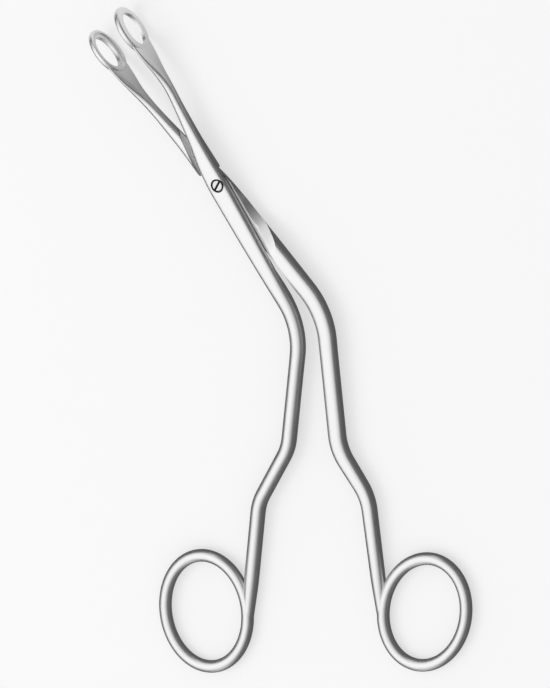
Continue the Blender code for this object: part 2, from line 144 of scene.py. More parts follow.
def rounded_line(corners, radii):
    """Each inner corner becomes an arc. It starts radius * tan(turn / 2) before the corner and
    swings its spoke through the turn. Returns the points and the run along the line."""
    line = [corners[:1]]
    for before, corner, after, radius in zip(corners, corners[1:], corners[2:], radii):
        into = (corner - before) / np.linalg.norm(corner - before)
        out = (after - corner) / np.linalg.norm(after - corner)
        turn = math.atan2(into[0] * out[1] - into[1] * out[0], float(into @ out))
        side = math.copysign(1.0, turn) * np.array([-into[1], into[0]])
        centre = corner - into * radius * math.tan(abs(turn) / 2) + side * radius
        swing = turn * np.linspace(0.0, 1.0, ARC_POINTS)
        spokes = np.outer(np.cos(swing), -side) + np.outer(np.sin(swing), [side[1], -side[0]])
        line.append(centre + radius * spokes)
    line = np.concatenate(line + [corners[-1:]])
    run = np.r_[0.0, np.cumsum(np.linalg.norm(np.diff(line, axis=0), axis=1))]
    even = np.linspace(0.0, run[-1], int(run[-1] / LINE_STEP) + 1)
    return np.column_stack([np.interp(even, run, line[:, k]) for k in (0, 1)]), even


# %% [markdown]
# ## The section of an arm
# The bar is rounded at the shanks and nearly square at the joint. A superellipse covers both with
# one number: at squareness 2 it is an ellipse, and higher powers push it out towards its box.
# Width, thickness and squareness all change along the arm, so they are arrays over the line.

# %% Sweep a changing superellipse along a line
def swept(name, line, widths, thicknesses, squarenesses, around, endless=False):
    """Section point at angle a: (width / 2) * |cos a| ** (2 / s) to the side and
    (thickness / 2) * |sin a| ** (2 / s) up, with the signs of cos and sin."""
    if endless:
        tangent = np.roll(line, -1, axis=0) - np.roll(line, 1, axis=0)
    else:
        tangent = np.gradient(line, axis=0)
    tangent /= np.linalg.norm(tangent, axis=1)[:, None]
    across = np.column_stack([tangent[:, 1], -tangent[:, 0]])
    angle = (np.arange(around) + 0.5) * 2 * math.pi / around
    power = 2 / np.asarray(squarenesses)[:, None]
    reach = np.sign(np.cos(angle)) * np.abs(np.cos(angle)) ** power
    rise = np.sign(np.sin(angle)) * np.abs(np.sin(angle)) ** power
    reach = reach * np.asarray(widths)[:, None] / 2
    rise = rise * np.asarray(thicknesses)[:, None] / 2
    plan = line[:, None, :] + across[:, None, :] * reach[..., None]
    return mesh_of_rings(name, np.concatenate([plan, rise[..., None]], axis=-1), endless)


def smoothed(row, spread):
    """A running Gaussian mean along the line, with the end values held beyond the ends."""
    half = int(3 * spread / LINE_STEP)
    kernel = np.exp(-0.5 * (np.arange(-half, half + 1) * LINE_STEP / spread) ** 2)
    return np.convolve(np.pad(row, half, mode="edge"), kernel / kernel.sum(), mode="valid")


# %% [markdown]
# ## The jaws
# A jaw is a flat oval with a window through it. Its inner face is dished, so that only a narrow
# rim presses, and its back is rounded. The oval blank and its cutter are both stacks of ovals:
# each level has its own size and its own height through the jaw's depth. Cutting the dish after
# the neck has been joined lets the neck flow into the rim without closing the window.

# %% Stacked ovals for the jaw and for its dish
JAW_WIDTH, JAW_LENGTH, JAW_DEPTH = 0.0112, 0.0146, 0.0019
WINDOW_WIDTH, WINDOW_LENGTH = 0.0070, 0.0101
DISH_DEPTH, JAW_RIM = 0.0007, 0.00095
JAW_POINTS = 176


def corners_cut(levels, rounds=3):
    """Chaikin's scheme: every span is replaced by its points at one and three quarters."""
    levels = np.asarray(levels)
    for _ in range(rounds):
        first, second = levels[:-1], levels[1:]
        cut = np.stack([0.75 * first + 0.25 * second, 0.25 * first + 0.75 * second], axis=1)
        levels = np.concatenate([levels[:1], cut.reshape(-1, 2), levels[-1:]])
    return levels


def oval_stack(name, centre, heading, outward, levels):
    """Each level is (share of the way from window to outer oval, height towards the back).
    A point at angle a lies at reach * cos(a) along the jaw and spread * sin(a) up."""
    share, height = np.asarray(levels).T
    reach = (WINDOW_LENGTH + share * (JAW_LENGTH - WINDOW_LENGTH)) / 2
    spread = (WINDOW_WIDTH + share * (JAW_WIDTH - WINDOW_WIDTH)) / 2
    angle = np.arange(JAW_POINTS) * 2 * math.pi / JAW_POINTS
    along = unit(heading)
    back = outward * np.array([-along[1], along[0]])
    plan = (centre + np.multiply.outer(np.outer(reach, np.cos(angle)), along)
            + (height[:, None] * back)[:, None, :])
    return mesh_of_rings(name, np.concatenate([plan, np.outer(spread, np.sin(angle))[..., None]],
                                              axis=-1))


def jaw_blank(arm):
    """Flat contact face, rounded edge and crowned back."""
    half = JAW_DEPTH / 2
    edge = corners_cut([(0.80, -half), (0.96, -0.85 * half), (1.0, -0.35 * half),
                        (0.99, 0.25 * half), (0.88, 0.66 * half), (0.62, 0.93 * half),
                        (0.30, half)])
    return oval_stack("jaw_blank", arm["jaw"], arm["jaw_heading"], arm["side"], edge)


def dish_cutter(arm):
    """Dished inner face, window and eased edge at the back, as one tool."""
    half = JAW_DEPTH / 2
    lip = 1.0 - JAW_RIM / ((JAW_WIDTH - WINDOW_WIDTH) / 2)
    bowl = corners_cut([(lip, -0.95 * half), (0.78 * lip, 0.62 * DISH_DEPTH - half),
                        (0.30 * lip, 0.95 * DISH_DEPTH - half), (0.0, DISH_DEPTH - half)])
    levels = np.concatenate([[(lip + 0.45 * (1 - lip), -1.10 * half)], bowl,
                             [(0.0, 0.80 * half), (0.03, 0.92 * half), (0.10, half),
                              (0.20, 1.12 * half)]])
    return oval_stack("dish", arm["jaw"], arm["jaw_heading"], arm["side"], levels)


# %% [markdown]
# ## The two arms
# Both arms share one recipe and differ in their plan: where the corner at the joint lies, how
# long each leg is and where it heads. The front arm lies over the rear one at the joint. The
# finger ring is an ellipse that the last leg touches, so its centre follows from that leg.

# %% Plans of the arms
FINGER_HALF_LENGTH = 0.0169
FINGER_BAR_WIDTH, FINGER_BAR_THICKNESS, FINGER_BAR_SQUARENESS = 0.0036, 0.0034, 2.2
NECK_ROOT, NECK_FLARE, NECK_WIDTH = 0.0035, 0.0120, 0.0085
JAW_ARM_WIDTH, JAW_ARM_THICKNESS = 0.0026, 0.0028
JOINT_THICKNESS, JOINT_HALF_LENGTH, SHANK_THICKNESS = 0.0044, 0.0065, 0.0041
LAP_LENGTH, LAP_RAMP = 0.0165, 0.0090
RING_LEG_WIDTH = 0.0043
BEND_RADII = [0.040, 0.060, 0.024, 0.016, 0.016]
SCHEDULE_SPREAD = 0.0020

front = dict(name="front_arm", side=-1, corner=(0.0060, 0.0001), jaw_leg=(0.0253, -9.0),
             jaw_reach=(0.0192, -1.5), joint_width=0.0061, shank_width=0.0044,
             finger_half_width=0.0132, finger_turn=-4.0, squareness=2.2,
             legs=((0.0528, 174.8), (0.0372, 135.3), (0.0203, 113.8), (0.0381, 135.5)))
rear = dict(name="rear_arm", side=1, corner=(-0.0080, -0.0010), jaw_leg=(0.0438, 8.9),
            jaw_reach=(0.0137, 4.5), joint_width=0.0059, shank_width=0.0051,
            finger_half_width=0.0126, finger_turn=-27.0, squareness=2.8,
            legs=((0.0388, 185.9), (0.0411, 147.5), (0.0159, 177.1), (0.0378, 149.0)))


def lay_out(arm):
    """Adds the centre line, the sizes along it and the finger ring to an arm's plan."""
    corner = np.array(arm["corner"])
    bend = corner + arm["jaw_leg"][0] * unit(arm["jaw_leg"][1])
    arm["jaw_heading"] = arm["jaw_reach"][1]
    arm["jaw"] = bend + arm["jaw_reach"][0] * unit(arm["jaw_heading"])
    corners = [arm["jaw"] - NECK_ROOT * unit(arm["jaw_heading"]), bend, corner]
    for length, heading in arm["legs"]:
        corners.append(corners[-1] + length * unit(heading))
    arm["line"], run = rounded_line(np.array(corners), BEND_RADII)
    pivot, level = [np.interp(0.0, -arm["line"][:, 0], row) for row in (run, arm["line"][:, 1])]
    arm["crossing"] = np.array([0.0, level])
    arm["sizes"] = sizes_along(arm, run, pivot)
    arm["ring"] = finger_line(corners[-1], arm)


def sizes_along(arm, run, pivot):
    """Width, thickness and squareness at each point: straight between the stations of the
    forging, and then smoothed. A station is (run, width, thickness, squareness)."""
    lengths = [leg[0] for leg in arm["legs"]]
    joint, shank = arm["joint_width"], arm["shank_width"]
    bend = pivot + np.array(arm["corner"]) @ unit(arm["legs"][0][1]) + lengths[0]
    knee = bend + lengths[1]
    neck = JAW_LENGTH / 2 - NECK_ROOT
    square = arm["squareness"]
    stations = np.array([
        (0.0, 0.80 * JAW_DEPTH, 0.84 * JAW_WIDTH, 2.6),
        (neck, 0.95 * JAW_DEPTH, NECK_WIDTH, 2.2),
        (neck + 0.28 * NECK_FLARE, 1.20 * JAW_DEPTH, 0.84 * NECK_WIDTH, 2.0),
        (neck + 0.52 * NECK_FLARE, JAW_ARM_WIDTH, 0.56 * NECK_WIDTH, 2.0),
        (neck + NECK_FLARE, JAW_ARM_WIDTH, JAW_ARM_THICKNESS, 2.1),
        (pivot - 3.9 * JOINT_HALF_LENGTH, 1.04 * JAW_ARM_WIDTH, 1.02 * JAW_ARM_THICKNESS, 2.3),
        (pivot - 2.2 * JOINT_HALF_LENGTH, 0.62 * joint, 0.76 * JOINT_THICKNESS, 3.0),
        (pivot - JOINT_HALF_LENGTH, 0.86 * joint, 0.94 * JOINT_THICKNESS, 4.2),
        (pivot, joint, JOINT_THICKNESS, 4.6),
        (pivot + LAP_LENGTH, 0.93 * joint, JOINT_THICKNESS, 4.0),
        (pivot + LAP_LENGTH + LAP_RAMP, 0.5 * (joint + shank), JOINT_THICKNESS, 3.6),
        (bend - BEND_RADII[2] / 4, 1.07 * shank, SHANK_THICKNESS, square),
        (bend + BEND_RADII[2] / 2, shank, SHANK_THICKNESS, square),
        (knee, shank, SHANK_THICKNESS, square),
        (knee + lengths[2], RING_LEG_WIDTH, SHANK_THICKNESS, square),
        (run[-1] - lengths[3] / 3, RING_LEG_WIDTH, 0.95 * SHANK_THICKNESS, 2.2),
        (run[-1], 0.86 * FINGER_BAR_WIDTH, 0.86 * FINGER_BAR_THICKNESS, 2.1)])
    return [smoothed(np.interp(run, stations[:, 0], stations[:, k]), SCHEDULE_SPREAD)
            for k in (1, 2, 3)]


def finger_line(touch, arm, points=208):
    """An ellipse through the touching point whose tangent there is the leg. The support point
    of an ellipse in direction n is (a^2 (n.u) u + b^2 (n.v) v) / sqrt(a^2 (n.u)^2 + b^2 (n.v)^2)."""
    leg = unit(arm["legs"][-1][1])
    u = unit(arm["legs"][-1][1] + arm["side"] * arm["finger_turn"])
    v = np.array([-u[1], u[0]])
    n = arm["side"] * np.array([leg[1], -leg[0]])
    a, b = FINGER_HALF_LENGTH, arm["finger_half_width"]
    support = (a * a * (n @ u) * u + b * b * (n @ v) * v) / math.hypot(a * (n @ u), b * (n @ v))
    angle = np.arange(points) * 2 * math.pi / points
    return touch - support + np.outer(a * np.cos(angle), u) + np.outer(b * np.sin(angle), v)


for arm in (front, rear):
    lay_out(arm)
    print(arm["name"], "line of", len(arm["line"]), "points, ring centre",
          (arm["ring"].mean(axis=0) * 1000).round(1), "mm")

# %% [markdown]
# ## The half-lap
# Where the arms cross, each keeps half of its thickness: the front arm the upper half, the rear
# arm the lower. The cut is a round floor about the screw, a channel with the other arm's outline
# and, on the handles' side, a long flat that runs out in a gentle ramp, as a large cutter leaves
# it. The rear arm also slopes down to its edge beside the front arm, which makes the long shaded
# facet there. Every tool is a solid, made of the same rings as the rest, and their floors differ
# by a hair, because exact Booleans leave slivers where two tools share a plane.

# %% Tools for the joint
LAP_GAP, LAP_STEP, SIDE_CLEARANCE = 0.0003, 0.00004, 0.00035
RUN_OUT_START, RUN_OUT_LENGTH = 0.0120, 0.0150
RUN_OUT_RISE = 0.52 * (JOINT_THICKNESS + LAP_GAP)
LAP_RADIUS, CLOSING_ANGLE = 0.0040, 4.5
OUTLINE_BACK, OUTLINE_AHEAD = 0.0421, 0.0286
FLANK_STRIP, FLANK_LIFT, FLANK_DROP, FLANK_FADE_START = 0.0006, 0.0001, 0.0019, 0.0135
RUN_OUT_POINTS, FLANK_POINTS = 61, 91


def column(outline, bottom, top):
    """A flat outline raised from one height to another."""
    rings = [np.column_stack([outline, np.full(len(outline), z)]) for z in (bottom, top)]
    return mesh_of_rings("column", np.array(rings))


def disc(radius, points=96):
    """A circle about the screw's axis: radius * (cos a, sin a)."""
    angle = np.arange(points) * 2 * math.pi / points
    return radius * np.column_stack([np.cos(angle), np.sin(angle)])


def outline_near_joint(arm, margin):
    """Both sides of the arm near the joint, as one closed outline grown by a margin."""
    near = (arm["line"][:, 0] > -OUTLINE_BACK) & (arm["line"][:, 0] < OUTLINE_AHEAD)
    line = arm["line"][near]
    tangent = np.gradient(line, axis=0)
    tangent /= np.linalg.norm(tangent, axis=1)[:, None]
    left = np.column_stack([-tangent[:, 1], tangent[:, 0]])
    reach = (arm["sizes"][0][near] / 2 + margin)[:, None]
    return np.concatenate([line + left * reach, (line - left * reach)[::-1]])


def turned(points, degrees):
    """Plan points swung about the screw's axis: (x cos t - y sin t, x sin t + y cos t)."""
    c, s = unit(degrees)
    return points @ np.array([[c, s], [-s, c]])


def lap_rise(run):
    """Height of a lap's floor over its seat: rise * (1 - cos(pi s)) / 2 along the run-out, s
    from 0 to 1. The rise is just over the depth of the lap, so the floor ends almost level."""
    share = np.clip((run - RUN_OUT_START) / RUN_OUT_LENGTH, 0.0, 1.0)
    return RUN_OUT_RISE * (1 - np.cos(math.pi * share)) / 2


def lap_cutters(arm, other, closing, facing):
    """The round floor, the channel and the run-out, as three tools. facing is +1 where the
    upper half goes and -1 where the lower half goes."""
    seat, clear = -facing * LAP_GAP / 2, facing * JOINT_THICKNESS
    run = np.linspace(RUN_OUT_START, RUN_OUT_START + RUN_OUT_LENGTH, RUN_OUT_POINTS)
    floor = seat + facing * (lap_rise(run) + LAP_STEP)
    profile = np.concatenate([[(0.0, clear), (0.0, seat + facing * LAP_STEP)],
                              np.column_stack([run, floor]), [(run[-1], clear)]])
    along = unit(arm["legs"][0][1])
    left = np.array([-along[1], along[0]])
    walls = [np.column_stack([arm["crossing"] + left * reach + np.outer(profile[:, 0], along),
                              profile[:, 1]])
             for reach in (-arm["joint_width"], arm["joint_width"])]
    return [column(disc(LAP_RADIUS), seat - facing * LAP_STEP, clear),
            column(turned(outline_near_joint(other, SIDE_CLEARANCE), closing), seat, clear),
            mesh_of_rings("ramp", np.array(walls))]


def flank_cutter(arm, other):
    """Rows across the arm, each a slope from the crease beside the other arm down to the edge:
    floor(run) - fall(run) * (reach - crease) / (edge - crease). The fall fades out as a cosine."""
    along, beside = unit(arm["legs"][0][1]), unit(other["legs"][0][1])
    left = np.array([-along[1], along[0]])
    outward = np.array([-beside[1], beside[0]])
    strip = (np.array(other["corner"]) - arm["crossing"]
             + outward * (other["joint_width"] / 2 + FLANK_STRIP))
    drift = (beside @ left) / (beside @ along)
    end, edge, clear = RUN_OUT_START + RUN_OUT_LENGTH, arm["joint_width"] / 2, JOINT_THICKNESS
    run = np.linspace(-JOINT_HALF_LENGTH, end, FLANK_POINTS)
    share = np.clip((run - FLANK_FADE_START) / (end - FLANK_FADE_START), 0.0, 1.0)
    fall = FLANK_DROP * (1 + np.cos(math.pi * share)) / 2
    crease = strip @ left + (run - strip @ along) * drift
    floor = lap_rise(run) - LAP_GAP / 2 + FLANK_LIFT
    far = np.full(len(run), 2 * edge)
    low = floor - fall * (far - crease) / (edge - crease)
    reach = np.stack([crease, crease, far, far], axis=1)
    height = np.stack([np.full(len(run), clear), floor, low, np.full(len(run), clear)], axis=1)
    plan = arm["crossing"] + run[:, None, None] * along + reach[..., None] * left
    return mesh_of_rings("flank", np.concatenate([plan, height[..., None]], axis=-1))


# %% [markdown]
# ## The screw
# The slotted screw holds the arms together: its head is flush in the front arm, and its end is
# flush with the back of the rear arm. It is a turned piece, so a profile is spun round the axis
# and the slot is milled out afterwards.

# %% Spin the profile and cut the slot
HEAD_RADIUS, HEAD_HEIGHT, BOLT_RADIUS, SCREW_CLEARANCE = 0.00165, 0.0009, 0.0012, 0.0003
HEAD_EDGE, TAIL_EDGE, COUNTERSINK = 0.00036, 0.00014, 0.00012
SLOT_WIDTH, SLOT_DEPTH, SLOT_HEADING = 0.00065, 0.0006, -66.0
CROWN_POINTS = 9


def spun(name, profile, points=128):
    """Each (radius, height) of the profile becomes a circle about the screw's axis."""
    radius, height = np.asarray(profile).T
    angle = np.arange(points) * 2 * math.pi / points
    rings = np.stack([np.outer(radius, np.cos(angle)), np.outer(radius, np.sin(angle)),
                      np.repeat(height[:, None], points, axis=1)], axis=-1)
    return mesh_of_rings(name, rings)


def screw_mesh():
    """The head's edge is a quarter circle: edge * (sin t, cos t) from its own centre. A wedge,
    twice as wide twice as high, cuts the slot with sloped sides."""
    top, seat = JOINT_THICKNESS / 2, JOINT_THICKNESS / 2 - HEAD_HEIGHT
    turn = np.radians(np.linspace(0.0, 90.0, CROWN_POINTS))
    crown = np.column_stack([HEAD_RADIUS - HEAD_EDGE + HEAD_EDGE * np.sin(turn),
                             top - HEAD_EDGE + HEAD_EDGE * np.cos(turn)])
    profile = np.concatenate([crown, [(HEAD_RADIUS, seat), (BOLT_RADIUS, seat),
                                      (BOLT_RADIUS, TAIL_EDGE - top),
                                      (BOLT_RADIUS - TAIL_EDGE, -top)]])
    along, broad = 2 * HEAD_RADIUS * unit(SLOT_HEADING), SLOT_WIDTH * unit(SLOT_HEADING + 90)
    wedge = [(0.0, top - SLOT_DEPTH), (1.0, top + SLOT_DEPTH), (-1.0, top + SLOT_DEPTH)]
    ends = [[(*(end + share * broad), height) for share, height in wedge]
            for end in (-along, along)]
    return combined(spun("screw", profile), [mesh_of_rings("slot", np.array(ends))], "DIFFERENCE")


# %% [markdown]
# ## From blanks to finished pieces
# A real arm is forged, ground, and then milled at the joint. The order here is the same: shank,
# jaw and ring are united first, and lap, holes and dish are cut last. Edges sharper than the
# crease angle stay sharp, and all else is shaded smooth. Each finished piece is laid on the
# table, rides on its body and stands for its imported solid.

# %% Forge the arms and add every piece
SECTION_POINTS, BAR_POINTS = 72, 48
CREASE = math.radians(32)


def forging(arm, other, closing, facing, extra_cutters):
    """Shank, jaw and ring united, and then cut by the lap, the screw's holes and the dish."""
    bar = np.ones(len(arm["ring"]))
    shank = swept("shank", arm["line"], *arm["sizes"], SECTION_POINTS)
    ring = swept("ring", arm["ring"], bar * FINGER_BAR_WIDTH, bar * FINGER_BAR_THICKNESS,
                 bar * FINGER_BAR_SQUARENESS, BAR_POINTS, endless=True)
    blank = combined(shank, [jaw_blank(arm), ring], "UNION")
    cutters = lap_cutters(arm, other, closing, facing) + extra_cutters + [dish_cutter(arm)]
    return combined(blank, cutters, "DIFFERENCE")


def open_edges(mesh):
    """Edges that don't have just two faces, of which a closed solid has none."""
    loops = np.empty(len(mesh.loops), np.int32)
    mesh.loops.foreach_get("edge_index", loops)
    return int((np.bincount(loops, minlength=len(mesh.edges)) != 2).sum())


def add_piece(name, mesh, body, node):
    """Lays a plan mesh on the table, hangs it on its body and hides the imported solid it stands
    for.
    """
    mesh.transform(plan_to_table)
    mesh.shade_smooth()
    mesh.set_sharp_from_angle(angle=CREASE)
    piece = bpy.data.objects.new(name, mesh)
    bpy.context.scene.collection.objects.link(piece)
    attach(piece, body)
    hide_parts(node)
    print(name, len(mesh.vertices), "points, volume", round(signed_volume(mesh) * 1e9, 1),
          "cubic mm, open edges", open_edges(mesh))
    return piece


bore = column(disc(BOLT_RADIUS + SCREW_CLEARANCE), -JOINT_THICKNESS, JOINT_THICKNESS)
hole_radius = HEAD_RADIUS + SCREW_CLEARANCE
counterbore = spun("counterbore", [
    (hole_radius, JOINT_THICKNESS / 2 - HEAD_HEIGHT - SCREW_CLEARANCE),
    (hole_radius, JOINT_THICKNESS / 2 - COUNTERSINK),
    (hole_radius + 2 * COUNTERSINK, JOINT_THICKNESS / 2 + COUNTERSINK),
    (hole_radius + 2 * COUNTERSINK, JOINT_THICKNESS)])
front_arm = add_piece("polished_front_arm", forging(front, rear, -CLOSING_ANGLE, -1,
                                                    [bore, counterbore]),
                      "front", "front_arm")
rear_arm = add_piece("polished_rear_arm", forging(rear, front, CLOSING_ANGLE, 1,
                                                  [flank_cutter(rear, front), bore]),
                     "rear", "rear_arm")
screw = add_piece("slotted_screw", screw_mesh(), "rear", "joint_screw")


# %% [markdown]
# ## Polished stainless steel
# Instrument steel is polished after hardening: it mirrors the room in soft bands and is never
# quite even. Slow clouds change its tone and gloss, and very fine polishing marks roughen the
# reflection. Arms and screw share this, so it is one node group that puts out colour, roughness
# and height; the shader stays in each material.

# %% The shared finish
def polish_group():
    """Colour and roughness are centre + spread * (clouds - 0.5), and the marks are the height."""
    group = bpy.data.node_groups.new("polish", "ShaderNodeTree")
    for name, value in (("Tone", 0.7), ("Tone Spread", 0.04), ("Gloss", 0.2),
                        ("Gloss Spread", 0.06), ("Cloud Scale", 90.0), ("Mark Scale", 2600.0)):
        socket = group.interface.new_socket(name, in_out="INPUT", socket_type="NodeSocketFloat")
        socket.default_value = value
    for name, kind in (("Color", "NodeSocketColor"), ("Roughness", "NodeSocketFloat"),
                       ("Height", "NodeSocketFloat")):
        group.interface.new_socket(name, in_out="OUTPUT", socket_type=kind)
    nodes, links = group.nodes, group.links
    given, put = nodes.new("NodeGroupInput"), nodes.new("NodeGroupOutput")
    place = nodes.new("ShaderNodeTexCoord")
    clouds, marks = nodes.new("ShaderNodeTexNoise"), nodes.new("ShaderNodeTexNoise")
    clouds.inputs["Detail"].default_value, marks.inputs["Detail"].default_value = 3.0, 2.0
    for noise, scale in ((clouds, "Cloud Scale"), (marks, "Mark Scale")):
        links.new(place.outputs["Object"], noise.inputs["Vector"])
        links.new(given.outputs[scale], noise.inputs["Scale"])
    for centre, spread, target in (("Tone", "Tone Spread", "Color"),
                                   ("Gloss", "Gloss Spread", "Roughness")):
        shift, swing = nodes.new("ShaderNodeMath"), nodes.new("ShaderNodeMath")
        shift.operation = swing.operation = "MULTIPLY_ADD"
        shift.inputs[1].default_value = -0.5
        links.new(given.outputs[spread], shift.inputs[0])
        links.new(given.outputs[centre], shift.inputs[2])
        links.new(clouds.outputs["Fac"], swing.inputs[0])
        links.new(given.outputs[spread], swing.inputs[1])
        links.new(shift.outputs[0], swing.inputs[2])
        links.new(swing.outputs[0], put.inputs[target])
    links.new(marks.outputs["Fac"], put.inputs["Height"])
    return group


# %% [markdown]
# ## Painted shade in the recesses
# The slot and the gap round the screw's head are narrow and lie in shade, seen as dark lines.
# Reflections alone leave them too bright, so a mask finds what lies below the head's top near the
# screw, and shade is painted into both steels there.

# %% The mask of the painted shade in the recesses
# Heights below the head's top where the painted shade starts and is full, its value, and its margin
# round the hole.
RECESS_START, RECESS_FULL = -0.00002, -0.00014
PAINTED_SHADE_VALUE, RECESS_MARGIN = 0.26, 0.00004


def painted_shade_group():
    """Mask of the painted shade in the screw's recesses. It ends sharply at Reach, measured level
    from the screw, and grows from the start height to the full one below the top of the head."""
    group = bpy.data.node_groups.new("painted_recess_shade", "ShaderNodeTree")
    group.interface.new_socket("Reach", in_out="INPUT", socket_type="NodeSocketFloat")
    group.interface.new_socket("Mask", in_out="OUTPUT", socket_type="NodeSocketFloat")
    nodes, links = group.nodes, group.links
    given, put = nodes.new("NodeGroupInput"), nodes.new("NodeGroupOutput")
    place, offset, flat, reach, height = [nodes.new(kind) for kind in (
        "ShaderNodeTexCoord", *4 * ["ShaderNodeVectorMath"])]
    for node, operation in ((offset, "SUBTRACT"), (flat, "MULTIPLY"), (reach, "LENGTH"),
                            (height, "DOT_PRODUCT")):
        node.operation = operation
    offset.inputs[1].default_value = plan_to_table @ Vector((0.0, 0.0, JOINT_THICKNESS / 2))
    flat.inputs[1].default_value = (1.0, 1.0, 0.0)
    height.inputs[1].default_value = hinge["axis"]
    links.new(place.outputs["Object"], offset.inputs[0])
    links.new(offset.outputs[0], flat.inputs[0])
    links.new(flat.outputs[0], reach.inputs[0])
    links.new(offset.outputs[0], height.inputs[0])
    inside, low, both = [nodes.new(kind) for kind in (
        "ShaderNodeMath", "ShaderNodeMapRange", "ShaderNodeMath")]
    inside.operation, both.operation = "LESS_THAN", "MULTIPLY"
    for socket, value in (("From Min", RECESS_FULL), ("From Max", RECESS_START),
                          ("To Min", 1.0), ("To Max", 0.0)):
        low.inputs[socket].default_value = value
    links.new(reach.outputs["Value"], inside.inputs[0])
    links.new(given.outputs["Reach"], inside.inputs[1])
    links.new(height.outputs["Value"], low.inputs["Value"])
    links.new(inside.outputs[0], both.inputs[0])
    links.new(low.outputs["Result"], both.inputs[1])
    links.new(both.outputs[0], put.inputs["Mask"])
    return group


# %% [markdown]
# ## The two steels
# Both are plain metals with the shared finish and the painted shade of the recesses. The screw is a
# little darker and its marks are a little deeper. A bump of a few thousandths of a millimetre is
# enough to break up a mirror image.

# %% Materials for the arms and the screw
def blank_material(name):
    """A new material, with the nodes and links of its tree."""
    material = bpy.data.materials.new(name)
    material.use_nodes = True
    return material, material.node_tree.nodes, material.node_tree.links


def steel(name, tone, gloss, mark_depth):
    """Metal whose colour is the finish's tone times a painted shade: 1, or darker where the mask is
    1.
    """
    material, nodes, links = blank_material(name)
    shader = nodes["Principled BSDF"]
    shader.inputs["Metallic"].default_value = 1.0
    finish, painted_shade_mask = nodes.new("ShaderNodeGroup"), nodes.new("ShaderNodeGroup")
    finish.node_tree, painted_shade_mask.node_tree = polish, painted_recess_shade
    finish.inputs["Tone"].default_value, finish.inputs["Gloss"].default_value = tone, gloss
    painted_shade_mask.inputs["Reach"].default_value = hole_radius + RECESS_MARGIN
    # Painted shade: the tone is multiplied down where the recess mask is 1.
    shade, shaded_tone = nodes.new("ShaderNodeMapRange"), nodes.new("ShaderNodeMath")
    shade.inputs["To Min"].default_value, shade.inputs["To Max"].default_value = 1.0, PAINTED_SHADE_VALUE
    shaded_tone.operation = "MULTIPLY"
    bump = nodes.new("ShaderNodeBump")
    bump.inputs["Distance"].default_value = mark_depth
    links.new(painted_shade_mask.outputs["Mask"], shade.inputs["Value"])
    links.new(finish.outputs["Color"], shaded_tone.inputs[0])
    links.new(shade.outputs["Result"], shaded_tone.inputs[1])
    links.new(shaded_tone.outputs[0], shader.inputs["Base Color"])
    links.new(finish.outputs["Roughness"], shader.inputs["Roughness"])
    links.new(finish.outputs["Height"], bump.inputs["Height"])
    links.new(bump.outputs["Normal"], shader.inputs["Normal"])
    return material


# The second group paints shade into the screw's slot and the gap round its head.
polish, painted_recess_shade = polish_group(), painted_shade_group()
arm_steel = steel("polished_arm_steel", tone=0.74, gloss=0.36, mark_depth=0.000002)
screw_steel = steel("polished_screw_steel", tone=0.66, gloss=0.34, mark_depth=0.000003)
for piece, material in ((front_arm, arm_steel), (rear_arm, arm_steel), (screw, screw_steel)):
    piece.data.materials.clear()
    piece.data.materials.append(material)
print("materials:", arm_steel.name, screw_steel.name)

# %% [markdown]
# ## The white table
# The picture's ground is plain white. The table is a matt white, and a share of what the camera
# and the mirrors see of it is a steady glow; the rest is lit by the lamps and keeps a soft shadow
# of the forceps. Light Path tells the rays apart, so the glow lights nothing else.

# %% The tabletop
FLOOR_HALF = 6.0


def link_rays(nodes, links, socket, share=1.0):
    """share where the ray comes from the camera, a mirror or through glass, and 0 elsewhere."""
    ray = nodes.new("ShaderNodeLightPath")
    first, second, part = [nodes.new("ShaderNodeMath") for _ in range(3)]
    first.operation = second.operation = "MAXIMUM"
    part.operation = "MULTIPLY"
    part.inputs[1].default_value = share
    links.new(ray.outputs["Is Camera Ray"], first.inputs[0])
    links.new(ray.outputs["Is Glossy Ray"], first.inputs[1])
    links.new(first.outputs[0], second.inputs[0])
    links.new(ray.outputs["Is Transmission Ray"], second.inputs[1])
    links.new(second.outputs[0], part.inputs[0])
    links.new(part.outputs[0], socket)


def tabletop(name, value, roughness, white, share):
    """A matt surface of one value, mixed with the given share of a glow of the given white."""
    material, nodes, links = blank_material(name)
    shader = nodes["Principled BSDF"]
    shader.inputs["Base Color"].default_value = (value, value, value, 1.0)
    shader.inputs["Roughness"].default_value = roughness
    shader.inputs["Specular IOR Level"].default_value = 0.0
    glow, blend = nodes.new("ShaderNodeEmission"), nodes.new("ShaderNodeMixShader")
    glow.inputs["Color"].default_value = (white, white, white, 1.0)
    link_rays(nodes, links, blend.inputs["Fac"], share)
    links.new(shader.outputs[0], blend.inputs[1])
    links.new(glow.outputs[0], blend.inputs[2])
    links.new(blend.outputs[0], nodes["Material Output"].inputs["Surface"])
    return material


floor_mesh = bpy.data.meshes.new("floor")
floor_mesh.from_pydata([(-FLOOR_HALF, -FLOOR_HALF, 0), (FLOOR_HALF, -FLOOR_HALF, 0),
                        (FLOOR_HALF, FLOOR_HALF, 0), (-FLOOR_HALF, FLOOR_HALF, 0)],
                       [], [(0, 1, 2, 3)])
floor_mesh.materials.append(tabletop("white_table", value=0.90, roughness=1.0, white=0.97,
                                     share=0.60))
floor = bpy.data.objects.new("floor", floor_mesh)
print("table:", 2 * FLOOR_HALF, "m square")

# %% [markdown]
# ## What the steel mirrors
# Polished metal shows what stands round it, so its look is made by the surroundings. A tall dark
# curtain on the near side and at the handles' end gives each bar the dark band along its flank,
# which draws its roundness. A low dark screen on the far side draws a thin line along the other
# edge. A round dark sheet just over the table is painted shade: it darkens what the lower sides
# mirror, as the shadow under the forceps would. All three fade to white, so that no hard line
# crosses the metal. They only show in reflections: they cast no shade, and the camera does not see
# them.

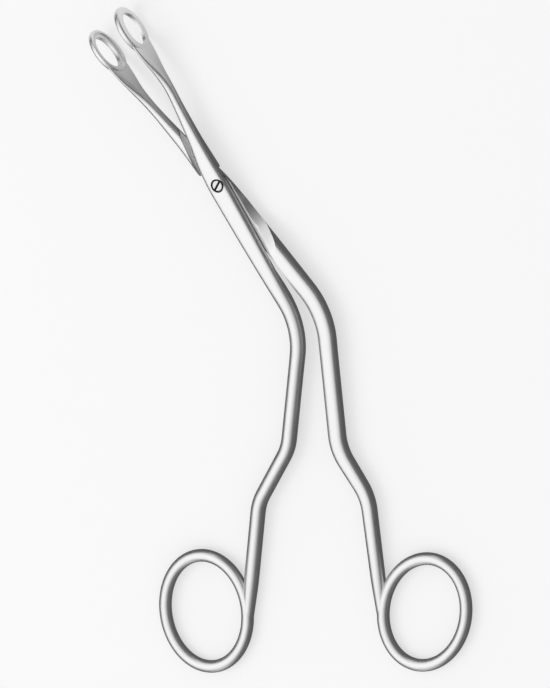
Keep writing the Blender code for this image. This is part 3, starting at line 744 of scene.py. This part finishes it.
# %% Cloths that glow from dark to white
def glowing_cloth(name):
    """A material that only glows, its nodes and links, and the socket for the glow's strength."""
    material, nodes, links = blank_material(name)
    nodes.remove(nodes["Principled BSDF"])
    glow = nodes.new("ShaderNodeEmission")
    links.new(glow.outputs[0], nodes["Material Output"].inputs["Surface"])
    return material, nodes, links, glow.inputs["Strength"]


def faded(nodes, links, source, limits, dark):
    """From the dark value to white (1) between two limits of the source, as 3 s^2 - 2 s^3."""
    ease = nodes.new("ShaderNodeMapRange")
    ease.interpolation_type = "SMOOTHSTEP"
    for socket, value in (("From Min", limits[0]), ("From Max", limits[1]), ("To Min", dark)):
        ease.inputs[socket].default_value = value
    links.new(source, ease.inputs["Value"])
    return ease.outputs["Result"]


def standing_cloth(name, dark, rise, middle, spread):
    """Fades between the two heights of rise, and between the two angles of spread from the
    middle heading. The brighter of both fades counts, so it is dark low down in the middle."""
    material, nodes, links, strength = glowing_cloth(name)
    place, parts = nodes.new("ShaderNodeTexCoord"), nodes.new("ShaderNodeSeparateXYZ")
    links.new(place.outputs["Object"], parts.inputs[0])
    along = unit(middle)
    forward, across = [nodes.new("ShaderNodeVectorMath") for _ in range(2)]
    for part, axis in ((forward, (along[0], along[1], 0.0)), (across, (-along[1], along[0], 0.0))):
        part.operation = "DOT_PRODUCT"
        part.inputs[1].default_value = axis
        links.new(place.outputs["Object"], part.inputs[0])
    heading, turn, most = [nodes.new("ShaderNodeMath") for _ in range(3)]
    heading.operation, turn.operation, most.operation = "ARCTAN2", "ABSOLUTE", "MAXIMUM"
    links.new(across.outputs["Value"], heading.inputs[0])
    links.new(forward.outputs["Value"], heading.inputs[1])
    links.new(heading.outputs[0], turn.inputs[0])
    fades = ((parts.outputs["Z"], rise), (turn.outputs[0], np.radians(spread)))
    for socket, (source, limits) in zip(most.inputs, fades):
        links.new(faded(nodes, links, source, limits, dark), socket)
    links.new(most.outputs[0], strength)
    return material


def lying_cloth(name, dark, centre, fade):
    """Fades between the two radii of fade about the centre, so it is dark in the middle."""
    material, nodes, links, strength = glowing_cloth(name)
    place, reach = nodes.new("ShaderNodeTexCoord"), nodes.new("ShaderNodeVectorMath")
    reach.operation = "DISTANCE"
    reach.inputs[1].default_value = (*centre, 0.0)
    links.new(place.outputs["Object"], reach.inputs[0])
    links.new(faded(nodes, links, reach.outputs["Value"], fade, dark), strength)
    return material


# %% Curtain, screen and the sheet of painted shade
CARD_FOOT, SHADE_SHEET_HEIGHT = 0.0005, 0.0002
# Centre and fade of the painted shade sheet, which darkens the floor's reflection under the forceps.
SHADE_SHEET_CENTRE, SHADE_SHEET_FADE = (-0.050, 0.0), (0.122, 0.172)


def only_in_mirrors(name, mesh, material):
    """A piece that shows in reflections and neither to the camera nor to the light."""
    mesh.materials.append(material)
    piece = bpy.data.objects.new(name, mesh)
    piece.visible_camera = piece.visible_diffuse = piece.visible_shadow = False
    return piece


def card(name, radius, ends, height, dark, rise, spread, points=49):
    """A standing card bent round the table: a strip of a cylinder between two headings."""
    angle = np.radians(np.linspace(*ends, points))
    foot = radius * np.column_stack([np.cos(angle), np.sin(angle)])
    rows = np.stack([np.column_stack([foot, np.full(points, z)]) for z in (CARD_FOOT, height)])
    index = np.arange(2 * points).reshape(2, points)
    quads = np.stack([index[0, :-1], index[0, 1:], index[1, 1:], index[1, :-1]], axis=-1)
    mesh = bpy.data.meshes.new(name)
    mesh.from_pydata(rows.reshape(-1, 3).tolist(), [], quads.tolist())
    cloth = standing_cloth(name + "_cloth", dark, rise, sum(ends) / 2, spread)
    return only_in_mirrors(name, mesh, cloth)


def round_shade_sheet(name, dark, centre, fade, points=96):
    """A flat disc of painted shade just over the table, as large as the outer radius of its fade."""
    rim = np.array(centre) + disc(fade[1], points)
    mesh = bpy.data.meshes.new(name)
    mesh.from_pydata(np.column_stack([rim, np.full(points, SHADE_SHEET_HEIGHT)]).tolist(), [],
                     [list(range(points))])
    return only_in_mirrors(name, mesh, lying_cloth(name, dark, centre, fade))


curtain = card("curtain", radius=0.55, ends=(130.0, 335.0), height=1.60, dark=0.13,
               rise=(0.20, 1.15), spread=(75.0, 102.0))
screen = card("screen", radius=0.60, ends=(-35.0, 140.0), height=0.42, dark=0.08,
              rise=(0.20, 0.42), spread=(70.0, 87.0))
# Painted shade: a dark sheet under the forceps, seen only in reflections, in place of their shadow
# on the table.
painted_shade_sheet = round_shade_sheet("painted_shade_sheet", 0.12, SHADE_SHEET_CENTRE, SHADE_SHEET_FADE)
for piece in (floor, curtain, screen, painted_shade_sheet):
    bpy.context.scene.collection.objects.link(piece)
print("stage:", floor.name, curtain.name, screen.name, painted_shade_sheet.name)

# %% [markdown]
# ## Lamps and room
# A wide soft panel over the far side shows in the steel and makes the tops white. A smaller key
# lamp beside it stays out of the reflections and draws the soft shadow on the table. The room is
# an even white where it is seen. As a light it gives less than that, and the lamps make up for it.

# %% Lamps and world
ROOM_LIGHT = 0.80


def panel(name, place, size, power, in_reflections):
    """A square area lamp that looks from its place at the origin."""
    data = bpy.data.lights.new(name, "AREA")
    data.size, data.energy = size, power
    lamp = bpy.data.objects.new(name, data)
    lamp.location = place
    lamp.rotation_euler = (-Vector(place)).to_track_quat("-Z", "Y").to_euler()
    lamp.visible_camera = False
    lamp.visible_glossy = in_reflections
    bpy.context.scene.collection.objects.link(lamp)


panel("sky_panel", place=(0.20, 0.60, 1.05), size=1.3, power=1.9, in_reflections=True)
panel("key", place=(0.30, 0.60, 1.00), size=0.60, power=2.4, in_reflections=False)

world = bpy.data.worlds.new("room")
world.use_nodes = True
bpy.context.scene.world = world
nodes, links = world.node_tree.nodes, world.node_tree.links
background, strength = nodes["Background"], nodes.new("ShaderNodeMapRange")
background.inputs["Color"].default_value = (1.0, 1.0, 1.0, 1.0)
strength.inputs["To Min"].default_value = ROOM_LIGHT
link_rays(nodes, links, strength.inputs["Value"])
links.new(strength.outputs["Result"], background.inputs["Strength"])

# %% [markdown]
# ## The camera
# The forceps are seen from above and in front, rolled so that the jaws point to the upper left. A
# very long lens from far away keeps both arms at one scale, as catalogue pictures do. The view
# direction leans from the screw's axis, and the picture's right is mixed from X and from the
# view plane's own uphill direction. Both are set in the plan frame and carried to the table.

# %% Camera at the catalogue picture's angle
PICTURE = (550, 688)
SIGHT_TILT = 33.0
RIGHT_ALONG, RIGHT_UPHILL = -0.559, -0.829
METRES_PER_PIXEL = 0.0002835
SCREW_PIXEL = (217.0, 186.0)
DISTANCE = 5.0

turn = plan_to_table.to_3x3()
lean = math.radians(SIGHT_TILT)
toward_camera = Vector((0.0, -math.sin(lean), math.cos(lean)))
picture_right = Vector((RIGHT_ALONG, RIGHT_UPHILL * math.cos(lean),
                        RIGHT_UPHILL * math.sin(lean))).normalized()
picture_up = toward_camera.cross(picture_right)
screw_top = plan_to_table @ Vector((0.0, 0.0, JOINT_THICKNESS / 2))
middle = (screw_top + turn @ picture_right * (PICTURE[0] / 2 - SCREW_PIXEL[0]) * METRES_PER_PIXEL
          - turn @ picture_up * (PICTURE[1] / 2 - SCREW_PIXEL[1]) * METRES_PER_PIXEL)

lens = bpy.data.cameras.new("long_lens")
lens.sensor_fit = "AUTO"
lens.sensor_width = 36.0
lens.lens = lens.sensor_width * DISTANCE / (max(PICTURE) * METRES_PER_PIXEL)
lens.clip_start, lens.clip_end = 0.1, 50.0
camera = bpy.data.objects.new("camera", lens)
axes = Matrix((turn @ picture_right, turn @ picture_up, turn @ toward_camera)).transposed()
camera.matrix_world = Matrix.Translation(middle + turn @ toward_camera * DISTANCE) @ axes.to_4x4()
bpy.context.scene.collection.objects.link(camera)
bpy.context.scene.camera = camera
bpy.context.scene.view_settings.view_transform = "Standard"
print("lens", round(lens.lens), "mm at", DISTANCE, "m")

# %% [markdown]
# ## The last update
# The finer surfaces have to keep the size of the solids. The view layer is updated once more at the
# end.

# %% Update the scene
bpy.context.view_layer.update()
